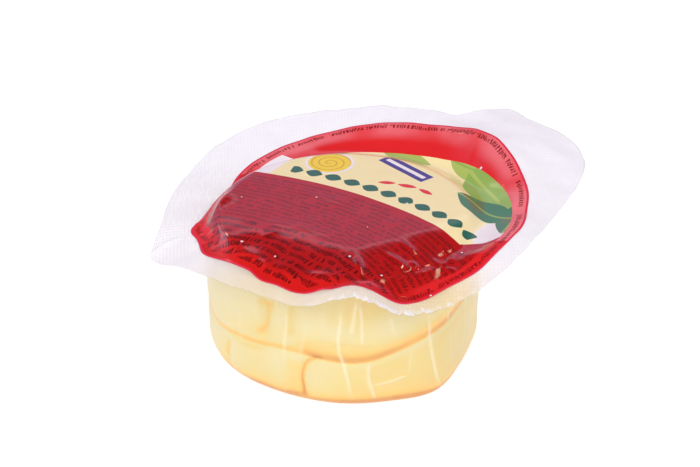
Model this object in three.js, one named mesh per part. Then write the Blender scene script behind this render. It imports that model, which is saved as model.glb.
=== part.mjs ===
// Parenica, a soft steamed cheese pulled into a long flat strip and wound up, sealed in its pack.
// Two coils of the strip lie one on the other in a clear formed pouch that clings to them.
// A printed lid film closes the pouch. It is welded to the pouch's rim in a wide thin flange,
// which waves, stands up at the right and runs out to a broad tab there and a small tip at the left.
// Millimetres, +Z up. The origin is the middle of the flat foot, on the cheese's axis, and -Y is
// the front. An angle is a bearing in degrees: about the lid's own middle on the lid, and about
// the cheese's axis on the cheese.

import * as THREE from 'three';

// Driving sizes of the cheese in its pouch
const CHEESE_RADIUS = 34;
const CHEESE_HEIGHT = 35;
const FOOT_ROUNDING = { inset: 2.8, height: 4.8 };
const LOWER_COIL = { inset: 0.4, height: 20 };
const GROOVE = { depth: 0.35, halfWidth: 1.5 };
const SEAM = { depth: 0.6, halfAngle: 3.5 };

// Driving sizes of the lid film and the flange
const LID_MIDDLE = new THREE.Vector2(4.5, 4.5);
const LID_RADIUS = 40.5;
const FLANGE_RADIUS = 46.1;
const FILM_THICKNESS = 0.6;
const FILM_GAP = 0.3;
const WELD_HEIGHT = 33;

// The shoulder, where the film leaves the cheese's top and drops to the weld, in cheese radii
const SHOULDER = { inner: 0.87, outer: 1.04 };

// Number of spokes round the lid and the cheese
const SPOKES = 84;

// Each wave is one soft swelling or dip: its bearing, its half width in degrees and its rise in mm
const SIDE_WAVES = [
  { at: -172, half: 25, rise: -0.6 },
  { at: -122, half: 32, rise: -1.5 },
  { at: -80, half: 26, rise: 0.5 },
  { at: -52, half: 14, rise: 2.2 },
  { at: -14, half: 22, rise: -1.0 },
];
const LID_EDGE_LEAN = { mean: 33.1, rise: 2.9, towards: 33 };
const LID_EDGE_WAVES = [
  { at: -131, half: 18, rise: 1.7 },
  { at: -92, half: 12, rise: 5.8 },
  { at: -77, half: 28, rise: -3.9 },
  { at: -29, half: 16, rise: 1.4 },
  { at: 36, half: 21, rise: 4.9 },
  { at: 74, half: 26, rise: 2.2 },
  { at: 146, half: 28, rise: -1.7 },
];
const LID_FOLD = { at: 162, half: 20, rise: -4.7 };
const FLANGE_LEAN = { mean: 0, rise: 2.1, towards: 135 };
const FLANGE_TABS = [
  { at: 29, half: 27, rise: 15.3 },
  { at: 49, half: 6, rise: 6.5 },
  { at: 53, half: 14, rise: -4.9 },
  { at: 129, half: 23, rise: 3.7 },
  { at: -116, half: 24, rise: -2.2 },
  { at: -163, half: 10, rise: 4.3 },
];
const DROOP_LEAN = { mean: -0.2, rise: 0.9, towards: 75 };
const DROOP_WAVES = [
  { at: 30, half: 17, rise: -3.7 },
  { at: 113, half: 28, rise: 1.8 },
  { at: -163, half: 9, rise: -2.4 },
];
const GROOVE_LEAN = { mean: 16.8, rise: 4.6, towards: 0 };
const GROOVE_WAVES = [
  { at: -82, half: 24, rise: -4.8 },
  { at: -128, half: 12, rise: -0.9 },
  { at: -156, half: 16, rise: -1.1 },
  { at: -38, half: 14, rise: -0.7 },
];

// The film falls off the cheese in flat facets: bearing, distance from the axis and slope of each
const TOP_FACETS = [
  { towards: -115, start: 18.9, slope: 0.2 },
  { towards: -58, start: 20.3, slope: 0.25 },
  { towards: -152, start: 25, slope: 0.14 },
];
const FACET_BEND = 0.7;

// Bearings of the strip ends that show as upright seams in the lower and the upper coil
const LOWER_SEAMS = [-106, -147];
const UPPER_SEAMS = [-124];

const smooth = (t) => THREE.MathUtils.smoothstep(t, 0, 1);
const lerp = THREE.MathUtils.lerp;
const cosine = (angle) => Math.cos(THREE.MathUtils.degToRad(angle));
const sine = (angle) => Math.sin(THREE.MathUtils.degToRad(angle));
const bearingOf = (x, y) => THREE.MathUtils.radToDeg(Math.atan2(y, x));
const hump = (t) => Math.exp(-(t ** 2));

// The sum of soft swellings and dips on one bearing
function waves(angle, list) {
  return list.reduce((sum, { at, half, rise }) => {
    const away = THREE.MathUtils.euclideanModulo(angle - at + 180, 360) - 180;
    return sum + rise * hump(away / half);
  }, 0);
}

function lean(angle, { mean, rise, towards }) {
  return mean + rise * cosine(angle - towards);
}

// The lower of two heights, with a rounded bend of the given depth where they cross
function softLower(a, b, depth) {
  const mix = Math.max(depth - Math.abs(a - b), 0) / depth;
  return Math.min(a, b) - (mix * mix * depth) / 4;
}

// Outline of the cheese, outline and height of the printed lid's edge, and the flange round it
const wallRadius = (bearing) => CHEESE_RADIUS + waves(bearing, SIDE_WAVES);
const grooveHeight = (bearing) => lean(bearing, GROOVE_LEAN) + waves(bearing, GROOVE_WAVES);
const lidEdgeRadius = (angle) => LID_RADIUS + waves(angle, [LID_FOLD]);
const lidEdgeHeight = (angle) => lean(angle, LID_EDGE_LEAN) + waves(angle, LID_EDGE_WAVES);
const flangeRadius = (angle) => FLANGE_RADIUS + lean(angle, FLANGE_LEAN) + waves(angle, FLANGE_TABS);
const flangeDroop = (angle) => lean(angle, DROOP_LEAN) + waves(angle, DROOP_WAVES);

// Distance from the lid's middle, on one bearing, to a circle about the cheese's axis
function reachOfCircle(angle, radius) {
  const along = LID_MIDDLE.x * cosine(angle) + LID_MIDDLE.y * sine(angle);
  return -along + Math.sqrt(along ** 2 + radius ** 2 - LID_MIDDLE.lengthSq());
}

// The same to the cheese's own outline, grown or shrunk by a share
function reachOfWall(angle, share) {
  const guess = reachOfCircle(angle, share * CHEESE_RADIUS);
  const x = LID_MIDDLE.x + guess * cosine(angle);
  const y = LID_MIDDLE.y + guess * sine(angle);
  return reachOfCircle(angle, share * wallRadius(bearingOf(x, y)));
}

// Height of the film where it lies on the cheese: flat, with facets that fall away at the front
function topHeight(x, y) {
  return TOP_FACETS.reduce((height, { towards, start, slope }) => {
    const beyond = x * cosine(towards) + y * sine(towards) - start;
    return softLower(height, CHEESE_HEIGHT - slope * beyond, FACET_BEND);
  }, CHEESE_HEIGHT);
}

// Height of the welded flange: from the foot of the shoulder up to the print's edge, then outwards
function flangeHeight(angle, reach) {
  const edge = lidEdgeRadius(angle);
  const edgeHeight = lidEdgeHeight(angle);
  if (reach > edge) {
    return edgeHeight + (flangeDroop(angle) * (reach - edge)) / (flangeRadius(angle) - edge);
  }
  const run = Math.max(edge - reachOfWall(angle, SHOULDER.outer), 3);
  const weldHeight = softLower(edgeHeight, WELD_HEIGHT, 2);
  return lerp(edgeHeight, weldHeight, smooth((edge - reach) / run));
}

// Height of the lid film's upper face
function lidHeight(x, y) {
  const angle = bearingOf(x - LID_MIDDLE.x, y - LID_MIDDLE.y);
  const reach = Math.hypot(x - LID_MIDDLE.x, y - LID_MIDDLE.y);
  const share = Math.hypot(x, y) / wallRadius(bearingOf(x, y));
  const down = smooth((share - SHOULDER.inner) / (SHOULDER.outer - SHOULDER.inner));
  return lerp(topHeight(x, y), flangeHeight(angle, reach), down);
}

// How far the side stands in from the cheese's outline: groove, seams, lower coil and foot
function sideInset(bearing, z) {
  const offGroove = z - grooveHeight(bearing);
  const seams = (offGroove < 0 ? LOWER_SEAMS : UPPER_SEAMS)
    .map((at) => ({ at, half: SEAM.halfAngle, rise: SEAM.depth }));
  const seamCut = waves(bearing, seams) * smooth(Math.abs(offGroove) / (2 * GROOVE.halfWidth));
  const grooveCut = GROOVE.depth * hump(offGroove / GROOVE.halfWidth);
  const taper = LOWER_COIL.inset * Math.max(1 - z / LOWER_COIL.height, 0);
  const lift = Math.max(1 - z / FOOT_ROUNDING.height, 0);
  const rounding = FOOT_ROUNDING.inset * (1 - Math.sqrt(1 - lift ** 2));
  return rounding + taper + (grooveCut + seamCut) * smooth(z / FOOT_ROUNDING.height);
}

// One closed body from stacked rings of points, with a point that closes it at each end
function closedRings(start, rings, end) {
  const points = [start, ...rings.flat(), end];
  const count = rings[0].length;
  const last = points.length - 1 - count;
  const faces = [];
  for (let k = 0; k < count; k += 1) {
    const next = (k + 1) % count;
    faces.push(0, 1 + next, 1 + k);
    for (let here = 1; here < last; here += count) {
      const above = here + count;
      faces.push(here + k, here + next, above + next);
      faces.push(here + k, above + next, above + k);
    }
    faces.push(last + k, last + next, points.length - 1);
  }
  const geometry = new THREE.BufferGeometry();
  geometry.setAttribute('position', new THREE.Float32BufferAttribute(points.flat(), 3));
  geometry.setIndex(faces);
  geometry.computeVertexNormals();
  return geometry;
}

const angles = Array.from({ length: SPOKES }, (_, k) => (k * 360) / SPOKES - 180);

// Rings on the cheese's top, in cheese radii, and on the flange, by share of its width
const TOP_RINGS = [0.36, 0.6, 0.77, SHOULDER.inner, 0.905, 0.935, 0.965, 1];
const FLANGE_RINGS = [0.1, 0.22, 0.36, 0.52, 0.68, 0.84, 1];

// A ring of points on the lid's upper face, or a depth under it
function lidRing(reachAt, depth) {
  return angles.map((angle) => {
    const reach = reachAt(angle);
    const x = LID_MIDDLE.x + reach * cosine(angle);
    const y = LID_MIDDLE.y + reach * sine(angle);
    return [x, y, lidHeight(x, y) - depth];
  });
}

const middleAt = (z) => [LID_MIDDLE.x, LID_MIDDLE.y, z];
const topRings = (depth) => (
  TOP_RINGS.map((share) => lidRing((angle) => reachOfWall(angle, share), depth)));

// The lid film: a thin wavy sheet, both faces split alike
function lidFilm() {
  const weldAt = (angle) => reachOfWall(angle, SHOULDER.outer);
  const sheet = (depth) => [
    ...topRings(depth),
    lidRing(weldAt, depth),
    ...FLANGE_RINGS.map((share) => (
      lidRing((angle) => lerp(weldAt(angle), flangeRadius(angle), share), depth))),
  ];
  const under = sheet(FILM_THICKNESS);
  const over = sheet(0).reverse();
  const top = lidHeight(LID_MIDDLE.x, LID_MIDDLE.y);
  return closedRings(middleAt(top - FILM_THICKNESS), [...under, ...over], middleAt(top));
}

// Rows of points up the cheese's side, by share of the way to the groove and on to the top
const ROWS_UNDER_GROOVE = [0.04, 0.12, 0.22, 0.35, 0.5, 0.68, 0.83, 0.92, 1];
const ROWS_OVER_GROOVE = [0.06, 0.13, 0.26, 0.46, 0.7, 0.88];

// The cheese in its pouch: flat foot, side rows that follow the groove, then the top
function cheesePouch() {
  const depth = FILM_THICKNESS + FILM_GAP;
  const top = topRings(depth).reverse();
  const sideRow = (heightAt) => top[0].map(([x, y, topEdge]) => {
    const bearing = bearingOf(x, y);
    const z = heightAt(grooveHeight(bearing), topEdge);
    const radius = Math.hypot(x, y) - sideInset(bearing, z);
    return [radius * cosine(bearing), radius * sine(bearing), z];
  });
  const rings = [
    sideRow(() => 0),
    ...ROWS_UNDER_GROOVE.map((share) => sideRow((groove) => groove * share)),
    ...ROWS_OVER_GROOVE.map((share) => sideRow((groove, topEdge) => lerp(groove, topEdge, share))),
    ...top,
  ];
  return closedRings(middleAt(0), rings, middleAt(lidHeight(LID_MIDDLE.x, LID_MIDDLE.y) - depth));
}

function addPiece(group, name, geometry, material) {
  const mesh = new THREE.Mesh(geometry, material);
  mesh.name = name;
  group.add(mesh);
}

const group = new THREE.Group();
group.name = 'parenica_cheese_pack';

// Butter-yellow cheese under tight glossy film
addPiece(group, 'cheese_pouch', cheesePouch(), new THREE.MeshStandardMaterial({
  color: 0xf1e2ae,
  roughness: 0.28,
  metalness: 0,
}));

// Red printed film, which runs out into a milky flange
addPiece(group, 'lid_film', lidFilm(), new THREE.MeshStandardMaterial({
  color: 0xc9283a,
  roughness: 0.3,
  metalness: 0,
}));

export default group;
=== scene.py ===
# Sealed parenica cheese: two coils of steamed curd in a clear formed pouch, under a printed lid film.
import math

import bpy
import numpy as np
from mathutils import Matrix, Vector


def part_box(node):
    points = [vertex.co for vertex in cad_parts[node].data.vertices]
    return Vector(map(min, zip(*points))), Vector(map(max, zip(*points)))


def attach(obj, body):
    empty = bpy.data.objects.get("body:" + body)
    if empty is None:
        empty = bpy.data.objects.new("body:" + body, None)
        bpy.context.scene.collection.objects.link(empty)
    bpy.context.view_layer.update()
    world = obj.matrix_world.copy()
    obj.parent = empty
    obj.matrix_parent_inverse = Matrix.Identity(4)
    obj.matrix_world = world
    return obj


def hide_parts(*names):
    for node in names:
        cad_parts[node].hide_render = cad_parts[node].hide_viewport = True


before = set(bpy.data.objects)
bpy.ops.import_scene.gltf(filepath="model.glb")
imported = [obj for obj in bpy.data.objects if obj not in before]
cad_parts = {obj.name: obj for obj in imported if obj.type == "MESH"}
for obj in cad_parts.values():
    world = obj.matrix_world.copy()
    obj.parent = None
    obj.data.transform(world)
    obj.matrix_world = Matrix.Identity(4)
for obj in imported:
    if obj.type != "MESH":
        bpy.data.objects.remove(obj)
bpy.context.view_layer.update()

# The cheese: two coils of one strip of steamed curd, laid one on the other and pressed flat.
# The curd is pulled while it is hot, so it is smooth and satin, with fine threads along the strip.
# Both coils are one closed skin, whose rows follow the groove where they press on each other.
MM = 0.001
CHEESE_RADIUS = 34
CHEESE_HEIGHT = 35
FOOT_INSET, FOOT_HEIGHT = 2.8, 4.8
LOWER_COIL_INSET, LOWER_COIL_HEIGHT = 0.4, 20
GROOVE_DEPTH, GROOVE_HALF = 0.35, 1.5
SEAM_DEPTH, SEAM_HALF_ANGLE = 0.6, 3.5
LOWER_SEAMS = [-106, -147]
UPPER_SEAMS = [-124]
# Each wave is one soft swelling or dip: its bearing, its half width in degrees and its rise in mm
SIDE_WAVES = [(-172, 25, -0.6), (-122, 32, -1.5), (-80, 26, 0.5), (-52, 14, 2.2), (-14, 22, -1.0)]
GROOVE_LEAN = (16.8, 4.6, 0)
GROOVE_WAVES = [(-82, 24, -4.8), (-128, 12, -0.9), (-156, 16, -1.1), (-38, 14, -0.7)]
CHEESE_UNDER_FILM = 0.32


def smooth(t):
    t = np.clip(t, 0, 1)
    return t * t * (3 - 2 * t)


def hump(t):
    return np.exp(-np.square(t))


def cosine(angle):
    return np.cos(np.radians(angle))


def sine(angle):
    return np.sin(np.radians(angle))


def waves(angle, items):
    """Sum of soft swellings and dips along a bearing."""
    return sum(rise * hump(((angle - at + 180) % 360 - 180) / half) for at, half, rise in items)


def lean(angle, mean, rise, towards):
    return mean + rise * cosine(angle - towards)


def wall_radius(bearing):
    return CHEESE_RADIUS + waves(bearing, SIDE_WAVES)


def groove_height(bearing):
    return lean(bearing, *GROOVE_LEAN) + waves(bearing, GROOVE_WAVES)


def side_inset(bearing, z):
    """How far the pack's side stands in from the cheese's outline."""
    off_groove = z - groove_height(bearing)
    lower = waves(bearing, [(at, SEAM_HALF_ANGLE, SEAM_DEPTH) for at in LOWER_SEAMS])
    upper = waves(bearing, [(at, SEAM_HALF_ANGLE, SEAM_DEPTH) for at in UPPER_SEAMS])
    seam_cut = np.where(off_groove < 0, lower, upper) * smooth(abs(off_groove) / (2 * GROOVE_HALF))
    groove_cut = GROOVE_DEPTH * hump(off_groove / GROOVE_HALF)
    taper = LOWER_COIL_INSET * np.maximum(1 - z / LOWER_COIL_HEIGHT, 0)
    lift = np.clip(1 - z / FOOT_HEIGHT, 0, 1)
    rounding = FOOT_INSET * (1 - np.sqrt(1 - lift**2))
    return rounding + taper + (groove_cut + seam_cut) * smooth(z / FOOT_HEIGHT)


def away_from_line(x, y, line):
    """Distance to a line of straight stretches, how far along it from 0 to 1, and its side: 1 is left."""
    nearest = np.full(np.shape(x), np.inf)
    along = np.zeros(np.shape(x))
    side = np.ones(np.shape(x))
    steps = len(line) - 1
    for k, ((ax, ay), (bx, by)) in enumerate(zip(line, line[1:])):
        dx, dy = bx - ax, by - ay
        t = np.clip(((x - ax) * dx + (y - ay) * dy) / (dx * dx + dy * dy), 0, 1)
        distance = np.hypot(x - ax - t * dx, y - ay - t * dy)
        closer = distance < nearest
        along = np.where(closer, (k + t) / steps, along)
        side = np.where(closer, np.sign(dx * (y - ay) - dy * (x - ax)), side)
        nearest = np.minimum(nearest, distance)
    return nearest, along, side


# Lines on the cheese's side as (bearing, height in mm): each has its depth and half width in mm, and how
# dark it is, from 0 to 1: partly the curd's own tone and partly painted shade in the line
FINE_LINES = [
    # The upper edge of the band where the two coils press on each other
    ([(-119, 13.9), (-111, 15.0), (-105, 16.6), (-100, 17.6), (-94, 17.4), (-85, 16.8), (-76, 17.2)],
     0.08, 0.8, 0.12),
    # A second thin line under the groove at the left
    ([(-149, 12.0), (-144.2, 11.4), (-137.9, 11.2), (-132.7, 11.2), (-124, 11.9)], 0.1, 0.4, 0.22),
    # The lower coil's strip end, a rounded corner that turns down to the foot
    ([(-97, 13.2), (-101, 13.0), (-103.7, 12.3), (-105.7, 10.6), (-106.8, 8.6), (-107.1, 6.4), (-106.4, 4.4),
      (-106, 2.8), (-106.4, 0.5)], 0.4, 0.42, 0.85),
    ([(-146.4, 9.8), (-146.8, 8.3), (-148.3, 6.2), (-147.9, 4.2)], 0.3, 0.55, 0.5),
    # The upper coil's strip end
    ([(-122.7, 25.5), (-122.1, 23), (-122.8, 20.9), (-123.8, 18.4), (-126.0, 16.7), (-130, 15.4)],
     0.25, 0.75, 0.55),
    ([(-128, 24.4), (-122.6, 24.6), (-118, 25.4)], 0.1, 0.9, 0.4),
    ([(-111, 28), (-111.1, 25), (-111.4, 22), (-112, 17)], 0.12, 1.1, 0.4),
    # Strip ends round the back
    ([(38, 3), (39, 9), (41, 14.5), (44, 19)], 0.4, 0.6, 0.7),
    ([(141, 13), (139, 19), (141, 27)], 0.3, 0.8, 0.55),
]


def line_on_side(bearing, z, line):
    """Distance in mm along the side to a line, and how far along the line."""
    mm_per_degree = CHEESE_RADIUS * math.pi / 180
    middle = (line[0][0] + line[-1][0]) / 2
    near = (bearing - middle + 180) % 360 - 180
    flat = [((b - middle) * mm_per_degree, h) for b, h in line]
    return away_from_line(near * mm_per_degree, z, flat)[:2]


def soft_noise(x, y, seed, wavelength, count=14):
    """A smooth uneven surface between about -1 and 1, from seeded waves in all directions."""
    rng = np.random.default_rng(seed)
    total = 0
    for _ in range(count):
        turn, phase = rng.uniform(0, 2 * math.pi, 2)
        pitch = wavelength * rng.uniform(0.7, 1.5)
        total = total + np.sin((x * math.cos(turn) + y * math.sin(turn)) * 2 * math.pi / pitch + phase)
    return total / math.sqrt(count / 2) / 2


def cheese_lumps(bearing, z):
    arc = bearing * CHEESE_RADIUS * math.pi / 180
    ends = smooth((180 - abs(bearing)) / 25)
    return 0.26 * ends * soft_noise(arc, z, 3, 17) + 0.05 * ends * soft_noise(arc, z, 4, 6)


def cheese_radius(bearing, z):
    """Radius of the curd's own skin, under the film."""
    off_groove = z - groove_height(bearing)
    deep = 0.06 * hump(off_groove / np.where(off_groove < 0, 0.5, 1.8))
    for line, depth, half, _ in FINE_LINES:
        distance, along = line_on_side(bearing, z, line)
        ends = smooth(along / 0.12) * smooth((1 - along) / 0.12)
        deep = deep + depth * ends * hump(distance / half)
    swelling = (cheese_lumps(bearing, z) - deep) * smooth(z / FOOT_HEIGHT)
    return wall_radius(bearing) - side_inset(bearing, z) - CHEESE_UNDER_FILM + swelling


def cheese_amber_and_shade(bearing, z):
    """Amber 0 to 1: denser curd and painted shade in groove and seams, and painted shade round the foot."""
    off_groove = z - groove_height(bearing)
    right = smooth((bearing + 112) / 8) * smooth((10 - bearing) / 60)
    # The groove's band is partly the curd's own amber and partly painted shade under the upper coil's lip
    wide = np.where(off_groove < 0, hump(off_groove / 0.45), 1 / (1 + abs(off_groove / 2.5) ** 3))
    thin = hump(off_groove / np.where(off_groove < 0, 0.5, 0.9))
    tone = 0.76 * right * wide + 0.6 * (1 - right) * thin + 0.12 * hump((off_groove - 2.5) / 3)
    for line, _, half, dark in FINE_LINES:
        distance, along = line_on_side(bearing, z, line)
        ends = smooth(along / 0.15) * smooth((1 - along) / 0.15)
        tone = tone + dark * ends * (0.5 * hump(distance / half) + 0.3 * hump(distance / (2.6 * half)))
    # Painted shade beside the lower coil's strip end, and the flange's painted shadow on the curd under its
    # front
    shade_beside_end = hump((bearing + 110.5) / 4) * smooth((off_groove + 1) / -3)
    shadow_under_flange = smooth((off_groove - 6) / 9) * hump((bearing + 82) / 24)
    # It is deeper at the right and eases off round the back, so that the tone meets itself at the left
    lower_right = smooth((bearing + 115) / 50) * smooth((175 - bearing) / 80)
    lower = (0.06 + 0.24 * lower_right) * smooth(-off_groove / 3)
    # Painted shade round the foot, where the side turns under, more at the left
    left_foot = hump((bearing + 122) / 17)
    foot = hump(z / 2.6) + (0.16 + 0.14 * left_foot) * hump(z / 6.5)
    return np.clip(tone + 0.3 * shade_beside_end + 0.32 * shadow_under_flange + lower + foot, 0, 1)


# Creases of the pouch as (bearing, height in mm), each with its strength from 0 to 1 and its half width in
# mm. The curd under a crease is paled: a painted highlight of the light that the crease scatters.
CREASES = [
    ([(-113.6, 26), (-113.8, 19.7), (-114.4, 16.3), (-115.3, 12.9), (-115.7, 8)], 0.6, 0.55),
    ([(-90, 30), (-91, 22.4), (-91.8, 19.1), (-91.4, 15.1), (-89.4, 11.4), (-87.8, 7.3), (-85.7, 1)],
     1.0, 0.45),
    ([(-84.3, 30), (-85.7, 24), (-86.9, 19.3)], 0.8, 0.55),
    ([(-83.6, 29), (-82.4, 22.6), (-82.4, 16.7)], 0.9, 0.4),
    ([(-79.8, 12.7), (-80, 8.3), (-76.7, 1.4)], 0.9, 0.5),
    ([(-72.4, 26), (-71.1, 22), (-69.3, 19)], 0.5, 0.45),
    ([(-63.2, 14.8), (-63.6, 8.2)], 0.5, 0.45),
    ([(-57.6, 25), (-55.8, 19), (-55.8, 15.9), (-54.5, 11.3), (-52.6, 6.7), (-49, 1.5)], 0.9, 0.5),
    ([(-78.6, 6.2), (-72.1, 6.6), (-67.5, 7.3), (-64.2, 7.8)], 0.9, 0.4),
    ([(-104, 23), (-106.1, 17.1), (-108.3, 12)], 0.4, 0.6),
    ([(-46.6, 22), (-45.0, 18.6)], 1.0, 0.35),
    ([(-44.2, 16), (-42, 6)], 0.4, 0.5),
    ([(-97, 27), (-98, 21)], 0.3, 0.6),
    ([(-137, 22), (-139, 15), (-138, 8)], 0.25, 0.7),
    ([(-30, 27), (-29, 14), (-31, 4)], 0.4, 0.6),
    ([(-16, 28), (-14, 17)], 0.5, 0.5),
    ([(-3, 22), (-4, 5)], 0.5, 0.6),
    ([(14, 30), (13, 14), (16, 2)], 0.9, 0.6),
    ([(52, 28), (50, 9)], 0.8, 0.6),
    ([(83, 30), (86, 15), (85, 3)], 0.9, 0.6),
    ([(118, 20), (116, 4)], 0.8, 0.6),
    ([(152, 29), (155, 16), (154, 6)], 0.8, 0.6),
]


def crease_share(bearing, z):
    total = 0 * bearing
    for line, strength, half in CREASES:
        distance, along = line_on_side(bearing, z, line)
        ends = smooth(along / 0.2) * smooth((1 - along) / 0.2)
        total = np.maximum(total, strength * ends * hump(distance / (0.75 * half)))
    return total * smooth(z / 1.5)


# Lid film and flange, which the cheese's top and the pouch's rim follow too
LID_MIDDLE = (4.5, 4.5)
LID_RADIUS = 40.5
FLANGE_RADIUS = 46.1
WELD_HEIGHT = 33
SHOULDER_INNER, SHOULDER_OUTER = 0.87, 1.04
LID_EDGE_LEAN = (33.1, 2.9, 33)
LID_EDGE_WAVES = [(-131, 18, 1.7), (-92, 12, 5.8), (-77, 28, -3.9), (-29, 16, 1.4),
                  (36, 21, 4.9), (74, 26, 2.2), (146, 28, -1.7)]
LID_FOLD = (162, 20, -4.7)
FLANGE_LEAN = (0, 2.1, 135)
FLANGE_TABS = [(29, 27, 15.3), (49, 6, 6.5), (53, 14, -4.9), (129, 23, 3.7), (-116, 24, -2.2),
               (-163, 10, 4.3)]
DROOP_LEAN = (-0.2, 0.9, 75)
DROOP_WAVES = [(30, 17, -3.7), (113, 28, 1.8), (-163, 9, -2.4)]
# Flat facets that fall away from the top: bearing, distance from the axis and slope of each
TOP_FACETS = [(-115, 18.9, 0.2), (-58, 20.3, 0.25), (-152, 25, 0.14)]
FACET_BEND = 0.7


def soft_lower(a, b, depth):
    mix = np.maximum(depth - abs(a - b), 0) / depth
    return np.minimum(a, b) - mix * mix * depth / 4


def reach_of_circle(angle, radius):
    """Distance from the lid's middle, on one bearing, to a circle about the cheese's axis."""
    along = LID_MIDDLE[0] * cosine(angle) + LID_MIDDLE[1] * sine(angle)
    return -along + np.sqrt(along**2 + radius**2 - LID_MIDDLE[0] ** 2 - LID_MIDDLE[1] ** 2)


def reach_of_wall(angle, share):
    guess = reach_of_circle(angle, share * CHEESE_RADIUS)
    x = LID_MIDDLE[0] + guess * cosine(angle)
    y = LID_MIDDLE[1] + guess * sine(angle)
    return reach_of_circle(angle, share * wall_radius(np.degrees(np.arctan2(y, x))))


def lid_edge_radius(angle):
    return LID_RADIUS + waves(angle, [LID_FOLD])


def flange_radius(angle):
    return FLANGE_RADIUS + lean(angle, *FLANGE_LEAN) + waves(angle, FLANGE_TABS)


def top_height(x, y):
    height = np.full(np.shape(x), float(CHEESE_HEIGHT))
    for towards, start, slope in TOP_FACETS:
        beyond = x * cosine(towards) + y * sine(towards) - start
        height = soft_lower(height, CHEESE_HEIGHT - slope * beyond, FACET_BEND)
    return height


def flange_height(angle, reach):
    edge = lid_edge_radius(angle)
    edge_height = lean(angle, *LID_EDGE_LEAN) + waves(angle, LID_EDGE_WAVES)
    droop = lean(angle, *DROOP_LEAN) + waves(angle, DROOP_WAVES)
    outside = edge_height + droop * (reach - edge) / (flange_radius(angle) - edge)
    run = np.maximum(edge - reach_of_wall(angle, SHOULDER_OUTER), 3)
    weld_height = soft_lower(edge_height, WELD_HEIGHT, 2)
    inside = edge_height + (weld_height - edge_height) * smooth((edge - reach) / run)
    return np.where(reach > edge, outside, inside)


def lid_height(x, y):
    """Height of the lid film's upper face, before its wrinkles."""
    angle = np.degrees(np.arctan2(y - LID_MIDDLE[1], x - LID_MIDDLE[0]))
    reach = np.hypot(x - LID_MIDDLE[0], y - LID_MIDDLE[1])
    share = np.hypot(x, y) / wall_radius(np.degrees(np.arctan2(y, x)))
    down = smooth((share - SHOULDER_INNER) / (SHOULDER_OUTER - SHOULDER_INNER))
    top = top_height(x, y)
    return top + (flange_height(angle, reach) - top) * down


def skin(name, rings, ends=None, values=None, flats=None):
    """One closed mesh from rings of points in mm, with a point at each end, or else ring-shaped."""

    def for_points(data, width):
        data = data.reshape(-1, width)
        return np.vstack([data[:1], data, data[-1:]]) if ends else data

    rows, columns = rings.shape[:2]
    points = rings.reshape(-1, 3)
    k = np.arange(columns)
    following = (k + 1) % columns
    first = 1 if ends else 0
    faces = []
    for row in range(rows - first):
        here = first + row * columns
        above = first + (row + 1) % rows * columns
        faces += np.stack([here + k, here + following, above + following, above + k], 1).tolist()
    if ends:
        points = np.vstack([[ends[0]], points, [ends[1]]])
        last = first + (rows - 1) * columns
        faces += np.stack([0 * k, first + following, first + k], 1).tolist()
        faces += np.stack([last + k, last + following, 0 * k + len(points) - 1], 1).tolist()
    mesh = bpy.data.meshes.new(name)
    mesh.from_pydata((points * MM).tolist(), [], faces)
    mesh.shade_smooth()
    for key, data in (values or {}).items():
        attribute = mesh.attributes.new(key, "FLOAT", "POINT")
        attribute.data.foreach_set("value", for_points(data, 1).astype(np.float32).ravel())
    if flats is not None:
        corner = np.empty(len(mesh.loops), dtype=np.int32)
        mesh.loops.foreach_get("vertex_index", corner)
        layer = mesh.uv_layers.new(name="flat_mm")
        layer.data.foreach_set("uv", for_points(flats, 2)[corner].astype(np.float32).ravel())
    piece = bpy.data.objects.new(name, mesh)
    bpy.context.scene.collection.objects.link(piece)
    return piece


def bearings(front_step, back_step):
    """Bearings once round, closer together over the front half."""
    front = np.arange(-185, 5, front_step)
    back = np.linspace(5, 175, int(170 / back_step) + 1)[:-1]
    return np.concatenate([front, back])


round_cheese = bearings(0.55, 0.95)
wall_top = lid_height(wall_radius(round_cheese) * cosine(round_cheese),
                      wall_radius(round_cheese) * sine(round_cheese))


def ring_at(bearing, radius, z):
    return np.stack([radius * cosine(bearing), radius * sine(bearing), z + 0 * bearing], -1)


# The windings of the strip, which show on the flat foot
WINDING_PITCH = 6.5
WINDING_DEPTH = 0.7
# How far the curd's flat top lies under the lid film, and how low its side starts to round over to it
TOP_UNDER_FILM, TOP_ROUNDING = 0.95, 1.6


def winding(bearing, radius):
    turn = (radius / WINDING_PITCH + bearing / 360) % 1
    return hump(np.minimum(turn, 1 - turn) * WINDING_PITCH / 0.5) * smooth(radius / 4)


def foot_rows():
    """Rows as (ring, amber with painted shade, crease highlight), from the foot's middle to its rim."""
    rows = []
    outer = cheese_radius(round_cheese, 0 * round_cheese)
    for share in np.linspace(0.04, 0.985, 46):
        radius = outer * share
        groove = winding(round_cheese, radius)
        ring = ring_at(round_cheese, radius, CHEESE_UNDER_FILM + WINDING_DEPTH * groove)
        # The windings' grooves get painted shade through the amber tone
        rows.append((ring, np.clip(0.35 + 0.6 * groove, 0, 1), 0 * radius))
    return rows


def side_rows(low, high, shares):
    """Rows up one coil's side, each at a share of its height."""
    rows = []
    for share in shares:
        z = low + (high - low) * share
        ring = ring_at(round_cheese, cheese_radius(round_cheese, z), z)
        # Each row's crease share becomes a painted highlight on the curd
        rows.append((ring, cheese_amber_and_shade(round_cheese, z), crease_share(round_cheese, z)))
    return rows


def top_rows():
    rows = []
    for share in [0.992, 0.975, 0.95, 0.92, 0.88, 0.8, 0.65, 0.45, 0.2]:
        radius = wall_radius(round_cheese) * share
        x, y = radius * cosine(round_cheese), radius * sine(round_cheese)
        rows.append((np.stack([x, y, lid_height(x, y) - TOP_UNDER_FILM], -1), 0 * radius, 0 * radius))
    return rows


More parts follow.
